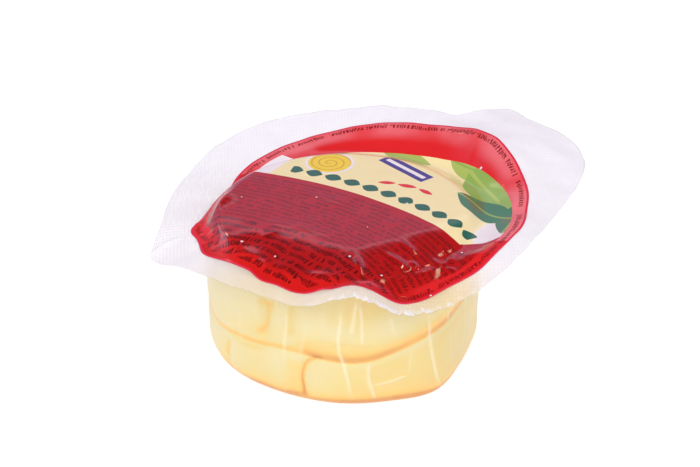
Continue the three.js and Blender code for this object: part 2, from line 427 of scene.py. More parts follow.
# The rows lie closer together beside the groove, whose lower edge is crisp
groove_line = groove_height(round_cheese)
low_rows = side_rows(CHEESE_UNDER_FILM, groove_line, [*np.linspace(0, 0.95, 42), 0.962, 0.973, 0.982, 0.991])
high_rows = side_rows(groove_line, wall_top - TOP_ROUNDING, [0, 0.006, *np.linspace(0.015, 1, 58)])
curd_rows = [*foot_rows(), *low_rows, *high_rows, *top_rows()]
curd_rings, curd_amber_and_shade, curd_crease_highlight = (np.array(part) for part in zip(*curd_rows))
curd_ends = ((0, 0, CHEESE_UNDER_FILM), (0, 0, CHEESE_HEIGHT - TOP_UNDER_FILM))
coils = skin("cheese_coils", curd_rings, curd_ends, {"amber": curd_amber_and_shade, "crease_highlight": curd_crease_highlight})


def linear(colour):
    """An sRGB hex colour as linear values, opaque."""
    parts = [int(colour[k:k + 2], 16) / 255 for k in (0, 2, 4)]
    return [p / 12.92 if p <= 0.04045 else ((p + 0.055) / 1.055) ** 2.4 for p in parts] + [1.0]


def add(material, kind, settings=None, **inputs):
    """Adds one node with its settings and its inputs, each a value or the output of another node."""
    node = material.node_tree.nodes.new(kind)
    for key, value in (settings or {}).items():
        setattr(node, key, value)
    for key, value in inputs.items():
        socket = node.inputs[int(key[3:])] if key.startswith("in_") else node.inputs[key.replace("_", " ")]
        if isinstance(value, bpy.types.NodeSocket):
            material.node_tree.links.new(value, socket)
        elif isinstance(value, bpy.types.Node):
            material.node_tree.links.new(value.outputs[0], socket)
        else:
            socket.default_value = value
    return node


def new_material(name):
    material = bpy.data.materials.new(name)
    material.use_nodes = True
    material.node_tree.nodes.clear()
    return material


def reckon(material, operation, *values, clamp=False):
    """One step of arithmetic in a material."""
    inputs = {f"in_{k}": value for k, value in enumerate(values)}
    settings = {"operation": operation, "use_clamp": clamp}
    return add(material, "ShaderNodeMath", settings, **inputs).outputs[0]


def on_skin(material, name):
    """A value that the mesh carries at its points."""
    return add(material, "ShaderNodeAttribute", {"attribute_name": name}).outputs["Fac"]


# Steamed curd: cooked and pulled milk protein, dense, moist and even.
# It gives a satin butter yellow that light soaks into, amber where it is pressed, with faint threads.
# Its amber is partly painted shade, and its paler streaks under the creases are painted highlights.
CURD_PALE, CURD_WARM, CURD_AMBER, CURD_DEEP = "E8DEA8", "E9D588", "F6CA6C", "DE9A4A"
# The paler colour of the curd's painted crease highlights
CURD_CREASE_HIGHLIGHT = "FCF4CE"
THREAD_MM = 0.9
curd = new_material("steamed_curd")
place = add(curd, "ShaderNodeTexCoord").outputs["Object"]
threads_at = add(curd, "ShaderNodeMapping", Vector=place, Scale=(60, 60, 1000 / THREAD_MM))
threads = add(curd, "ShaderNodeTexNoise", Vector=threads_at, Scale=1.0, Detail=3.0)
patches = add(curd, "ShaderNodeTexNoise", Vector=place, Scale=70.0, Detail=2.0)
uneven = reckon(curd, "MULTIPLY_ADD", patches.outputs["Fac"], 0.4, -0.2)
# The amber attribute holds the curd's own amber together with painted shade
toned = reckon(curd, "ADD", on_skin(curd, "amber"), uneven)
tint = add(curd, "ShaderNodeValToRGB", Fac=toned)
ramp = tint.color_ramp
for spot, colour in ((0.0, CURD_PALE), (0.3, CURD_WARM), (0.68, CURD_AMBER)):
    (ramp.elements[0] if spot == 0 else ramp.elements.new(spot)).color = linear(colour)
ramp.elements[-1].color = linear(CURD_DEEP)
# Painted highlight: the creases' scattered light, laid on the curd as a paler colour
crease_highlight_share = reckon(curd, "MULTIPLY", on_skin(curd, "crease_highlight"), 0.58)
curd_colour = add(curd, "ShaderNodeMix", {"data_type": "RGBA"}, in_0=crease_highlight_share, in_6=tint.outputs["Color"],
                  in_7=linear(CURD_CREASE_HIGHLIGHT)).outputs[2]
relief = add(curd, "ShaderNodeBump", Height=threads.outputs["Fac"], Strength=0.25, Distance=0.0002)
curd_surface = add(curd, "ShaderNodeBsdfPrincipled", Base_Color=curd_colour, Roughness=0.42, IOR=1.46,
                   Subsurface_Weight=0.5, Subsurface_Radius=(1.0, 0.62, 0.3), Subsurface_Scale=0.003,
                   Normal=relief)
add(curd, "ShaderNodeOutputMaterial", Surface=curd_surface)

coils.data.materials.append(curd)
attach(coils, "root")
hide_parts("cheese_pouch")

# The pouch: clear film drawn warm into a cup and sucked tight on the cheese.
# It clings all over, bridges the groove a little and stands in fine upright creases where it has slack.
POUCH_FILM = 0.12
CREASE_RISE = 0.05
# How far the pouch's side and its rim end under the lid film
SIDE_UNDER_LID, RIM_UNDER_LID = 0.75, 0.42
round_pouch = bearings(0.5, 1.1)
pouch_top = lid_height(wall_radius(round_pouch) * cosine(round_pouch),
                       wall_radius(round_pouch) * sine(round_pouch)) - SIDE_UNDER_LID


def pouch_radius(bearing, z, outer):
    lumps = 0.6 * cheese_lumps(bearing, z) * smooth(z / FOOT_HEIGHT)
    radius = wall_radius(bearing) - side_inset(bearing, z) + lumps
    return radius + CREASE_RISE * crease_share(bearing, z) if outer else radius - POUCH_FILM


def pouch_shell():
    rings, milk = [], []

    def put(ring, tone):
        rings.append(ring)
        milk.append(tone + 0 * round_pouch)

    for share in np.linspace(0.04, 0.985, 18):
        put(ring_at(round_pouch, pouch_radius(round_pouch, 0 * round_pouch, True) * share, 0), 0)
    for share in np.linspace(0, 1, 104) ** 1.15:
        z = pouch_top * share
        put(ring_at(round_pouch, pouch_radius(round_pouch, z, True), z), crease_share(round_pouch, z))
    edge = pouch_radius(round_pouch, pouch_top, True)
    rim_under = [(out, 0) for out in (0.5, 1.2, 2.0)]
    rim_over = [(out, POUCH_FILM / 2) for out in (1.9, 1.0, 0.3)]
    for out, lift in rim_under + rim_over:
        x, y = (edge + out) * cosine(round_pouch), (edge + out) * sine(round_pouch)
        put(np.stack([x, y, lid_height(x, y) - RIM_UNDER_LID + lift], -1), 1)
    for share in np.linspace(1, 0, 34):
        z = POUCH_FILM + (pouch_top - POUCH_FILM) * share
        put(ring_at(round_pouch, pouch_radius(round_pouch, z, False), z), 0)
    for share in np.linspace(0.98, 0.05, 6):
        put(ring_at(round_pouch, pouch_radius(round_pouch, 0 * round_pouch, False) * share, POUCH_FILM), 0)
    return np.array(rings), np.array(milk)


pouch_rings, pouch_milk = pouch_shell()
pouch = skin("pouch_film", pouch_rings, ((0, 0, 0), (0, 0, POUCH_FILM)), {"crease": pouch_milk})

# Clear coextruded film, drawn warm: glass clear and glossy where it is tight.
# A crease doubles the film, so it shows as a paler milky line that catches the light.
DOUBLED_FILM = "FFF9E0"
clear_film = new_material("clear_drawn_film")
edge_on = add(clear_film, "ShaderNodeLayerWeight", Blend=0.5).outputs["Facing"]
gleam = reckon(clear_film, "MULTIPLY_ADD", reckon(clear_film, "POWER", edge_on, 5.0), 0.09, 0.02)
see_through = add(clear_film, "ShaderNodeBsdfTransparent", Color=(1, 1, 1, 1))
mirror = add(clear_film, "ShaderNodeBsdfGlossy", Color=(1, 1, 1, 1), Roughness=0.2)
tight = add(clear_film, "ShaderNodeMixShader", in_0=gleam, in_1=see_through, in_2=mirror)
doubled = add(clear_film, "ShaderNodeBsdfPrincipled", Base_Color=linear(DOUBLED_FILM), Roughness=0.25,
              IOR=1.5)
share_of_milk = reckon(clear_film, "MULTIPLY", on_skin(clear_film, "crease"), 0.08, clamp=True)
film_out = add(clear_film, "ShaderNodeMixShader", in_0=share_of_milk, in_1=tight, in_2=doubled)
add(clear_film, "ShaderNodeOutputMaterial", Surface=film_out)
pouch.data.materials.append(clear_film)
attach(pouch, "root")
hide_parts("cheese_pouch")

# The flange: the pouch's rim and the lid film, welded together between warm knurled tools.
# The weld is milky and carries the tool's fine grid, and its cut edge waves and is nicked at the front.
# The real grid's pitch is about 0.6 mm. It is drawn a little coarser, so that it shows.
WAFFLE_PITCHES = (0.85, 1.05)
WAFFLE_DEPTH = 0.05
WAFFLE_TURN = 4
# Folds in the film as (x, y) in mm, each with its rise, its half widths on the left and the right of the
# line, all in mm, and where along it the fold stands highest, from 0 to 1
FOLDS = [
    # The ridge at the left, where the film drops off the cheese, and the valley outside it
    ([(-19, 25), (-22.2, 19.3), (-24.8, 14.3), (-27.3, 8.2), (-29.3, 4.2), (-31, -0.4), (-32.6, -3.6)],
     0.55, 2.4, 0.9, 0.6),
    ([(-23, 24), (-26.6, 16), (-29.3, 9), (-31.2, 5.5)], -0.4, 1.0, 1.2, 0.6),
    # The pulled corner at the left: its lower fold, and the pocket at the fold's inner end
    ([(-37, -2.6), (-34.2, -4.2), (-32.4, -5.0), (-30.4, -5.9)], -0.4, 0.6, 0.9, 0.75),
    ([(-36, 1.5), (-34, 1.0), (-31.5, 2.5)], 0.3, 0.8, 0.8, 0.4),
    # Long soft bends across the top
    ([(-19, -5.8), (-16.7, -6.8), (-11.5, -9.6), (-7.5, -11.3), (-3, -13), (2.5, -15)],
     0.25, 3.6, 1.7, 0.45),
    ([(-19.5, -14), (-18.2, -13.1), (-15.6, -11.3), (-12.6, -9.6)], 0.22, 1.2, 1.5, 0.5),
    ([(-13, 11), (-10.4, 9.6), (-4.6, 5.3), (1.2, 2.8), (4, 2)], 0.15, 3.4, 1.7, 0.5),
    # Pleats at the front, which stand out at their lower ends
    ([(2.6, -20), (3.3, -23.2), (3.4, -25.1), (4.0, -27.7), (4.1, -31.5)], 0.75, 1.3, 0.9, 0.65),
    ([(8.8, -19.6), (12, -22.8), (15.2, -26.3)], 0.9, 1.1, 1.2, 0.78),
    ([(15.2, -22.2), (16.1, -23.5), (17.4, -25.6)], 0.6, 0.6, 0.6, 0.7),
    ([(12.6, -14.6), (15.1, -17.7), (17.2, -20.2)], 0.4, 0.9, 1.1, 0.7),
    ([(-20, -21.5), (-17.2, -24.6)], 0.4, 0.6, 0.7, 0.6),
    # The knot of folds at the right
    ([(27.6, -14.6), (24.9, -18.1), (23.2, -20.1), (22.3, -22.4)], -0.75, 0.9, 1.5, 0.7),
    ([(21.8, -22.6), (25.6, -21), (28.2, -20.9), (30.8, -20.4), (33, -18.4), (36.5, -14.8)],
     1.3, 3.6, 3.5, 0.5),
    ([(22.8, -23), (25, -24.2), (27.4, -26.2)], 0.5, 0.6, 0.45, 0.4),
    ([(23, -23.2), (23.9, -24.6), (24.7, -26.3), (25, -29.2)], 0.55, 0.4, 0.55, 0.5),
    ([(22.6, -22.6), (20, -23.5), (17.4, -24.8)], -0.25, 0.7, 0.6, 0.4),
    ([(21.5, -24.4), (18.5, -25.8), (15, -28.6)], 0.35, 0.9, 0.7, 0.5),
    # The facet's edge at the back
    ([(34.4, 29), (32.6, 26.4), (30.6, 23.4)], 0.35, 0.7, 3.4, 0.5),
    # The fold that runs out to the flange's tip
    ([(-48, -9.5), (-44, -7.2), (-40.2, -4.6), (-35.6, -3.2)], 1.0, 0.7, 1.4, 0.5),
]
# The soft roll of slack film just inside the print's front edge
FRONT_ROLL, FRONT_ROLL_FROM_EDGE, FRONT_ROLL_HALF = 0.3, 3.8, 2.6


def waffle(x, y):
    a = x * cosine(WAFFLE_TURN) + y * sine(WAFFLE_TURN)
    b = -x * sine(WAFFLE_TURN) + y * cosine(WAFFLE_TURN)
    return np.sin(a * math.pi / WAFFLE_PITCHES[0]) ** 2 * np.sin(b * math.pi / WAFFLE_PITCHES[1]) ** 2


def crest(t):
    """A fold's section: a crisp rounded top that runs out on both sides."""
    return np.exp(0.35 - np.sqrt(0.1225 + 1.9 * t * t))


def film_relief(x, y):
    """Folds, slack and ripples of the lid film and the flange, in mm above the plain sheet."""
    angle = np.degrees(np.arctan2(y - LID_MIDDLE[1], x - LID_MIDDLE[0]))
    reach = np.hypot(x - LID_MIDDLE[0], y - LID_MIDDLE[1])
    outward = smooth((reach - 26) / 12)
    rise = (0.03 + 0.12 * outward) * soft_noise(x, y, 11, 10) + 0.012 * soft_noise(x, y, 12, 5)
    from_edge = lid_edge_radius(angle) - reach
    rise = rise + 0.25 * smooth(-from_edge / 5) * soft_noise(x, y, 13, 15)
    front = smooth((angle + 165) / 20) * smooth((-30 - angle) / 15)
    rise = rise + FRONT_ROLL * front * hump((from_edge - FRONT_ROLL_FROM_EDGE) / FRONT_ROLL_HALF)
    for line, height, left_half, right_half, peak in FOLDS:
        distance, along, side = away_from_line(x, y, line)
        ends = smooth(np.minimum(along / peak, (1 - along) / (1 - peak)))
        rise = rise + height * ends * crest(distance / np.where(side > 0, left_half, right_half))
    return rise


def film_height(x, y):
    return lid_height(x, y) + film_relief(x, y)


FLANGE_SPOKES = 880
round_flange = np.arange(FLANGE_SPOKES) * 360 / FLANGE_SPOKES - 180
# The stretch of cut edge that the knife has left nicked, and the stretch that the grid doesn't reach: each
# a bearing and its half width in degrees
NICKED = (-79, 20)
UNMARKED = (-126, 32)


def flange_edge(angle):
    """The cut edge: the plain outline, a little uneven, with small nicks at the front."""
    rng = np.random.default_rng(21)
    plain = flange_radius(angle)
    uneven = 0.18 * soft_noise(plain * cosine(angle), plain * sine(angle), 22, 7)
    nicks = np.abs(soft_noise(angle * 0.8, 0 * angle, 23, 1.7)) + 0.3 * rng.uniform(-1, 1, len(angle))
    return plain + 0.3 + uneven - 0.85 * hump((angle - NICKED[0]) / NICKED[1]) * nicks


edge_reach = flange_edge(round_flange)
weld_reach = reach_of_wall(round_flange, 1.0)
marked = (0.25 + 0.75 * hump((round_flange - 178) / 30) + 0.75 * hump((round_flange + 182) / 30))
marked = marked * (1 - smooth((UNMARKED[1] - abs(round_flange - UNMARKED[0])) / 6))
# Stretched over the cheese's front, the weld is thinner and gets a painted glow of the cheese's colour
stretched_and_glowing = waves(round_flange, [(-124, 18, 0.55), (-95, 20, 0.3), (-64, 13, 0.9)])
# Along the nicks the cut has whitened the film in clumps, which also stand in as painted glints
glinting_clumps = np.clip(0.25 + 1.5 * soft_noise(round_flange * 0.8, 0 * round_flange, 24, 2.4), 0, 1.2)


def flange_ring(share, depth, embossed):
    reach = weld_reach + (edge_reach - weld_reach) * share
    x = LID_MIDDLE[0] + reach * cosine(round_flange)
    y = LID_MIDDLE[1] + reach * sine(round_flange)
    z = film_height(x, y) - depth
    if embossed:
        inside = smooth((reach - 36) / 2) * smooth((edge_reach - reach) / 0.8)
        z = z - WAFFLE_DEPTH * waffle(x, y) * inside * marked
    near_cut = smooth((reach - edge_reach + 1.8) / 1.8) * hump((round_flange - NICKED[0]) / NICKED[1])
    # Painted glints along the nicked cut, less the stretched weld's painted warm glow
    edge_glint_and_glow = near_cut * glinting_clumps - stretched_and_glowing * (1 - 0.5 * near_cut)
    return np.stack([x, y, z], -1), np.stack([x, y], -1), edge_glint_and_glow


FLANGE_TOP, FLANGE_UNDER = 0.14, 0.26
flange_rows = [flange_ring(share, FLANGE_UNDER, False) for share in np.linspace(0.01, 0.995, 14)]
flange_rows += [flange_ring(share, FLANGE_TOP, True) for share in np.linspace(1, 0, 84)]
flange_rings, flange_flats, glint_and_glow = (np.array(part) for part in zip(*flange_rows))
flange = skin("flange_film", flange_rings, None,
              {"glint_and_glow": glint_and_glow, "marked": np.tile(marked, (len(flange_rows), 1))}, flange_flats)

# Welded film: milky where it holds, thinner in the grid's pockets, with a painted warm glow where stretched.
WELD_MILKY, WELD_WARM_GLOW = "F3F4FB", "F2DCA6"
milky = new_material("knurled_milky_weld")
flat_place = add(milky, "ShaderNodeUVMap", {"uv_map": "flat_mm"})
turned = add(milky, "ShaderNodeMapping", Vector=flat_place, Rotation=(0, 0, math.radians(-WAFFLE_TURN)))
apart = add(milky, "ShaderNodeSeparateXYZ", Vector=turned)
ridges = []
for axis, pitch in zip(("X", "Y"), WAFFLE_PITCHES):
    swing = reckon(milky, "SINE", reckon(milky, "MULTIPLY", apart.outputs[axis], math.pi / pitch))
    ridges.append(reckon(milky, "MULTIPLY", swing, swing))
grid = reckon(milky, "MULTIPLY", reckon(milky, "MULTIPLY", *ridges), on_skin(milky, "marked"))
emboss = add(milky, "ShaderNodeBump", {"invert": True}, Height=grid, Strength=0.3, Distance=0.0001)
haze = add(milky, "ShaderNodeTexNoise", Vector=flat_place, Scale=0.12, Detail=2.0)
haze_share = add(milky, "ShaderNodeMapRange", Value=haze.outputs["Fac"], To_Min=0.54, To_Max=0.72)
thinned = reckon(milky, "MULTIPLY_ADD", grid, -0.16, haze_share.outputs["Result"])
# Above nought: whitened by the cut, with painted glints. Below nought: stretched thin, with painted glow
glint_or_glow = on_skin(milky, "glint_and_glow")
share_milky = reckon(milky, "MULTIPLY_ADD", glint_or_glow, 0.3, thinned, clamp=True)
# The painted warm glow of the cheese's colour on the stretched weld
warm_glow = reckon(milky, "MULTIPLY", glint_or_glow, -0.8, clamp=True)
milk_tint = add(milky, "ShaderNodeMix", {"data_type": "RGBA"}, in_0=warm_glow, in_6=linear(WELD_MILKY),
                in_7=linear(WELD_WARM_GLOW)).outputs[2]
milk_body = add(milky, "ShaderNodeBsdfPrincipled", Base_Color=milk_tint, Roughness=0.32, IOR=1.5,
                Normal=emboss)
glow_through = add(milky, "ShaderNodeBsdfTranslucent", Color=milk_tint, Normal=emboss)
milk = add(milky, "ShaderNodeMixShader", in_0=0.3, in_1=milk_body, in_2=glow_through)
clear = add(milky, "ShaderNodeBsdfTransparent", Color=(1, 1, 1, 1))
milky_out = add(milky, "ShaderNodeMixShader", in_0=share_milky, in_1=clear, in_2=milk)
add(milky, "ShaderNodeOutputMaterial", Surface=milky_out)
flange.data.materials.append(milky)
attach(flange, "root")
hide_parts("lid_film")

# The lid: clear film printed on its inner side and laid over the cheese's flat top.
# It drops over the cheese's edge to the weld, and the suction has left it in facets, folds and ripples.
LID_SPOKES = 480
# Small pulls of the printed edge, each a bearing, its half width in degrees and its reach in mm
EDGE_PULLS = [(-172, 4.5, 1.5), (-166, 6, 0.35), (-154, 5.5, 1.1), (-131, 16, -1.4), (-125, 4.5, 1.2),
              (-113, 5, 0.4), (-103, 3.5, -1.3), (-79, 5, 0.6), (-61, 8, -1.1), (-35, 9, -0.6),
              (-8, 9, -0.7), (175, 5, -0.4)]
round_lid = np.arange(LID_SPOKES) * 360 / LID_SPOKES - 180
rim_reach = lid_edge_radius(round_lid) + waves(round_lid, EDGE_PULLS)
PRINT_TURN = -38


def lid_ring(share, depth):
    reach = rim_reach * share
    x = LID_MIDDLE[0] + reach * cosine(round_lid)
    y = LID_MIDDLE[1] + reach * sine(round_lid)
    ring = np.stack([x, y, film_height(x, y) - depth], -1)
    spread = LID_RADIUS * share
    flat = np.stack([spread * cosine(round_lid - PRINT_TURN), spread * sine(round_lid - PRINT_TURN)], -1)
    return ring, flat


LID_FILM = 0.1
lid_rows = [lid_ring(share, LID_FILM) for share in np.linspace(0.01, 0.998, 52)]
lid_rows += [lid_ring(share, 0.0) for share in np.linspace(1, 0.01, 150)]
lid_rings, lid_flats = (np.array(part) for part in zip(*lid_rows))
middle_height = float(film_height(*LID_MIDDLE))
lid_ends = ((*LID_MIDDLE, middle_height - LID_FILM), (*LID_MIDDLE, middle_height))
lid = skin("printed_lid", lid_rings, lid_ends, None, lid_flats)

# Gravure print under glossy film: flat even inks, deep and wet looking through the clear layer.
# Its fields are a red rim, a crimson panel with fine rows of marks, a cream band, white margins and leaves.
RED, CRIMSON, CREAM, WHITE = "DC2429", "AE0E10", "F2E6B0", "EEE9EE"
LEAF_LIGHT, LEAF_FRESH, LEAF_DARK, MARK_GREEN = "8FB256", "A9BF63", "3E7F5C", "1C6450"
YELLOW, VIOLET, MARK_DARK, RIM_MARK, RIM_EDGE = "F0D32A", "3C3A8C", "3A0406", "7C0E14", "DC2E4C"
# The pale pink is partly the milky weld seen through the ink and partly painted haze
PANEL_BRIGHT, WELD_PINK_AND_HAZE, COIL_AMBER = "D21A18", "F4A6B2", "D8A41E"
printed = new_material("gravure_printed_film")
label = add(printed, "ShaderNodeUVMap", {"uv_map": "flat_mm"})
label_xy = add(printed, "ShaderNodeSeparateXYZ", Vector=label)
across, upward = label_xy.outputs["X"], label_xy.outputs["Y"]


def figure(operation, *values):
    """One step of arithmetic on the print's plan."""
    return reckon(printed, operation, *values)


def from_point(x, y):
    return add(printed, "ShaderNodeVectorMath", {"operation": "DISTANCE"}, in_0=label,
               in_1=(x, y, 0)).outputs["Value"]


def both(a, b):
    return figure("MULTIPLY", a, b)


def ink(under_colour, mask, colour):
    """Lays one ink over what is there, where the mask is 1."""
    return add(printed, "ShaderNodeMix", {"data_type": "RGBA"}, in_0=mask, in_6=under_colour,
               in_7=linear(colour)).outputs[2]


def own_plan(x, y, turn, half_length, half_width):
    """The print's plan as seen by one shape: its middle at nought and its ends at one."""
    plan = add(printed, "ShaderNodeMapping", {"vector_type": "TEXTURE"}, Vector=label, Location=(x, y, 0),
               Rotation=(0, 0, math.radians(turn)), Scale=(half_length, half_width, 1))
    parts = add(printed, "ShaderNodeSeparateXYZ", Vector=plan)
    return parts.outputs["X"], parts.outputs["Y"]


def leaf(x, y, turn, half_length, half_width):
    """A leaf with a pointed tip at each end, and the rib down its middle."""
    a, b = own_plan(x, y, turn, half_length, half_width)
    off_rib = figure("ABSOLUTE", b)
    blade = figure("LESS_THAN", figure("MULTIPLY_ADD", a, a, off_rib), 1.0)
    return blade, both(blade, figure("LESS_THAN", off_rib, 0.07))


from_middle = from_point(0, 0)
# The front stretch of the rim that the panel fills, and the part of it with no marks: the middle and the
# half width of each in degrees on the plan
PANEL_STRETCH, BARE_STRETCH = (-58, 64), (-79.5, 42.5)
ARC_MIDDLE, ARC_RADIUS = (3, -102.7), 105
from_arc = from_point(*ARC_MIDDLE)
print_colour = linear(CREAM)

# White margins beside the rim, then leaves, each as its middle, turn, half length and half width in mm
for margin in ((-33.5, 4, 88, 16, 5.5), (34, 8.5, 104, 11, 5.2)):
    print_colour = ink(print_colour, leaf(*margin)[0], WHITE)
LEAVES = [
    ((12, 30.5, 168, 9, 3.2), LEAF_FRESH, LEAF_LIGHT),
    ((19, 25.5, 150, 10, 5.6), LEAF_LIGHT, LEAF_FRESH),
    ((30.5, 24, 118, 10, 5.6), LEAF_LIGHT, LEAF_FRESH),
    ((34.5, 16.5, 96, 9, 5), LEAF_DARK, LEAF_LIGHT),
    ((25, 16.5, 172, 9.5, 4.6), LEAF_DARK, LEAF_LIGHT),
    ((-27.5, 18.5, 30, 7.5, 2.8), LEAF_LIGHT, LEAF_FRESH),
    ((-7.5, 28.5, 6, 7, 2.6), LEAF_FRESH, LEAF_LIGHT),
]
for shape, blade_ink, rib_ink in LEAVES:
    blade, rib = leaf(*shape)
    print_colour = ink(ink(print_colour, blade, blade_ink), rib, rib_ink)

# A plain coiled cheese in yellow, seen from above, and a violet ribbon
CHEESE_PICTURE, RIBBON = (-19, 11.5), (-2, 20.5, -12, 8, 2.1)
PICTURE_RADIUS, PICTURE_MARGIN, COIL_PITCH, COIL_LINE_SHARE = 5.4, 0.8, 1.8, 0.2
RIBBON_STRIPE_LENGTH, RIBBON_STRIPE_WIDTH = 0.86, 0.3
from_picture = from_point(*CHEESE_PICTURE)
in_picture = figure("LESS_THAN", from_picture, PICTURE_RADIUS)
print_colour = ink(print_colour, figure("LESS_THAN", from_picture, PICTURE_RADIUS + PICTURE_MARGIN), WHITE)
print_colour = ink(print_colour, in_picture, YELLOW)
picture_x = figure("SUBTRACT", across, CHEESE_PICTURE[0])
picture_y = figure("SUBTRACT", upward, CHEESE_PICTURE[1])
coil_turn = figure("DIVIDE", figure("ARCTAN2", picture_y, picture_x), 2 * math.pi)
coil = figure("FRACT", figure("ADD", coil_turn, figure("DIVIDE", from_picture, COIL_PITCH)))
print_colour = ink(print_colour, both(figure("LESS_THAN", coil, COIL_LINE_SHARE), in_picture), COIL_AMBER)
ribbon_a, ribbon_b = (figure("ABSOLUTE", part) for part in own_plan(*RIBBON))
ribbon_field = figure("LESS_THAN", figure("MAXIMUM", ribbon_a, ribbon_b), 1.0)
ribbon_stripe = both(figure("LESS_THAN", ribbon_a, RIBBON_STRIPE_LENGTH),
                     figure("LESS_THAN", ribbon_b, RIBBON_STRIPE_WIDTH))
print_colour = ink(ink(print_colour, ribbon_field, VIOLET), ribbon_stripe, WHITE)

# A row of small leaves along the arc, with short red strokes above its middle
ROW_RADIUS, ROW_PITCH, ROW_END = ARC_RADIUS + 4.4, 5.4, 28.0
ROW_LEAF_HALF_LENGTH, ROW_LEAF_HALF_WIDTH = 2.35, 1.75
arc_x = figure("SUBTRACT", across, ARC_MIDDLE[0])
arc_y = figure("SUBTRACT", upward, ARC_MIDDLE[1])
arc_run = figure("MULTIPLY", figure("ARCTAN2", arc_x, arc_y), ROW_RADIUS)
off_leaf = figure("PINGPONG", arc_run, ROW_PITCH / 2)
row_a = figure("DIVIDE", off_leaf, ROW_LEAF_HALF_LENGTH)
row_b = figure("ABSOLUTE", figure("DIVIDE", figure("SUBTRACT", from_arc, ROW_RADIUS), ROW_LEAF_HALF_WIDTH))
row_leaf = figure("LESS_THAN", figure("MULTIPLY_ADD", row_a, row_a, row_b), 1.0)
in_row = figure("LESS_THAN", figure("ABSOLUTE", arc_run), ROW_END)
print_colour = ink(print_colour, both(row_leaf, in_row), MARK_GREEN)
for stroke in ((-1, 11.4, 30, 2.3, 0.8), (4, 13, 15, 2.6, 0.9), (9.4, 13.2, -8, 2.3, 0.8)):
    print_colour = ink(print_colour, leaf(*stroke)[0], RED)

# The red field at the back, and the crimson panel in front, which also fills the fold at the right
BACK_FIELD_MIDDLE, BACK_FIELD_INNER, BACK_FIELD_FROM = (3.5, -4.5), 36.6, 12.0
FOLD_SLOPE, FOLD_START, RIGHT_END_FROM = 1.15, -35.9, 29.5
off_back = from_point(*BACK_FIELD_MIDDLE)
back_field = both(figure("GREATER_THAN", off_back, BACK_FIELD_INNER),
                  figure("GREATER_THAN", upward, BACK_FIELD_FROM))
print_colour = ink(print_colour, back_field, RED)
fold_line = figure("MULTIPLY_ADD", across, FOLD_SLOPE, FOLD_START)
right_end = both(figure("LESS_THAN", upward, fold_line), figure("GREATER_THAN", across, RIGHT_END_FROM))
panel = figure("MAXIMUM", figure("LESS_THAN", from_arc, ARC_RADIUS), right_end)
print_colour = ink(print_colour, panel, CRIMSON)

# The panel is brighter near the rim, most of all at the front, where no cheese backs the film
rim_angle = figure("ARCTAN2", upward, across)


def off_stretch(middle):
    """Angle along the rim from the middle of one stretch of it, which is given in degrees."""
    return figure("ABSOLUTE", figure("SUBTRACT", rim_angle, math.radians(middle)))


def eased(value, low, high, at_low, at_high):
    """A soft change from one value to another, as the first goes from low to high."""
    return add(printed, "ShaderNodeMapRange", {"interpolation_type": "SMOOTHSTEP"}, Value=value,
               From_Min=low, From_Max=high, To_Min=at_low, To_Max=at_high).outputs[0]


# The middle of the rim's plain red stretch at the right, in degrees on the plan
PLAIN_RED_AT = -12
in_front = eased(off_stretch(BARE_STRETCH[0]), 0.5, 0.95, 0.85, 0.2)
bright = both(eased(from_middle, 34, 38, 0, 1), in_front)
print_colour = ink(print_colour, both(bright, panel), PANEL_BRIGHT)
at_right = both(eased(off_stretch(PLAIN_RED_AT), 0.25, 0.5, 0.8, 0), eased(from_middle, 36.4, 37.4, 0, 1))
print_colour = ink(print_colour, both(at_right, panel), RED)


def marks(run, off_line, number, pitch, strength):
    """Short upright strokes in one line, of uneven height and spacing and in uneven groups."""
    spot = add(printed, "ShaderNodeCombineXYZ", X=run, Y=off_line, Z=number)
    drift = add(printed, "ShaderNodeTexNoise", Vector=spot, Scale=0.62 / pitch, Detail=0.0).outputs["Fac"]
    wear = add(printed, "ShaderNodeTexNoise", Vector=spot, Scale=3.4 / pitch, Detail=0.0).outputs["Fac"]
    beat = figure("MULTIPLY_ADD", drift, 3.0, figure("DIVIDE", run, 0.36 * pitch))
    one = add(printed, "ShaderNodeCombineXYZ", X=figure("FLOOR", beat), Y=number)
    chance = add(printed, "ShaderNodeTexWhiteNoise", Vector=one).outputs["Value"]
    off_stroke = figure("ABSOLUTE", figure("SUBTRACT", figure("FRACT", beat), 0.5))
    in_stroke = figure("LESS_THAN", off_stroke, figure("MULTIPLY", wear, 0.62))
    half_height = figure("MULTIPLY_ADD", chance, 0.16 * pitch, 0.2 * pitch)
    in_line = figure("LESS_THAN", figure("ABSOLUTE", off_line), half_height)
    shown = both(figure("GREATER_THAN", drift, 0.37), figure("GREATER_THAN", chance, 0.07))
    return both(both(both(in_stroke, in_line), shown), strength)


# Rows of fine plain strokes fill the panel, coarser towards the front, and run round the rim.
# Each zone of rows is how far below the arc it starts and ends, and its pitch in mm and its strength
ROW_ZONES = [(1.6, 23.6, 1.7, 0.6), (23.6, 46.0, 2.4, 0.85)]
ROWS_REACH, ROWS_STOP_SHORT = 38.6, 1.6
behind_bare = figure("GREATER_THAN", off_stretch(BARE_STRETCH[0]), math.radians(BARE_STRETCH[1]))
rows_reach = figure("MULTIPLY_ADD", behind_bare, -ROWS_STOP_SHORT, ROWS_REACH)
below_arc = figure("SUBTRACT", ARC_RADIUS, from_arc)
for low, high, pitch, strength in ROW_ZONES:
    row = figure("DIVIDE", below_arc, pitch)
    row_number = figure("FLOOR", row)
    off_row = figure("MULTIPLY", figure("SUBTRACT", figure("FRACT", row), 0.5), pitch)
    zone = both(figure("GREATER_THAN", below_arc, low), figure("LESS_THAN", below_arc, high))
    within = both(zone, figure("LESS_THAN", from_middle, rows_reach))
    row_run = figure("MULTIPLY_ADD", row_number, 17.3, arc_run)
    row_marks = marks(row_run, off_row, figure("MULTIPLY", row_number, 9.1), pitch, strength)
    print_colour = ink(print_colour, both(row_marks, within), MARK_DARK)

